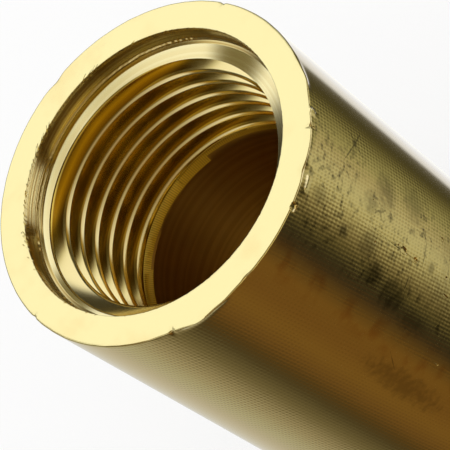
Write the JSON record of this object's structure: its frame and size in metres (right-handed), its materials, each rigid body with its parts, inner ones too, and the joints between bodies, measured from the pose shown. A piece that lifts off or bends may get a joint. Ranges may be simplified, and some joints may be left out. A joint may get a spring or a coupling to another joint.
{
  "type": "threaded pipe extension",
  "caption": "Thick-walled round brass pipe extension, with an internally threaded socket behind a plain recess at one end and a threaded spigot at the other.",
  "frame": {"origin": "centre of the spigot's end face, which the part stands on", "axes": "+Z along the tube's axis, from the spigot's end towards the socket's mouth; the socket's groove passes the +Y side 4.31 mm below the mouth"},
  "size_m": [0.0266, 0.0266, 0.062],
  "materials": {
    "turned_brass": "fine turned, satin to bright, lightly stained and pitted"
  },
  "bodies": {
    "root": {"extension_body": "turned_brass"}
  },
  "joints": []
}
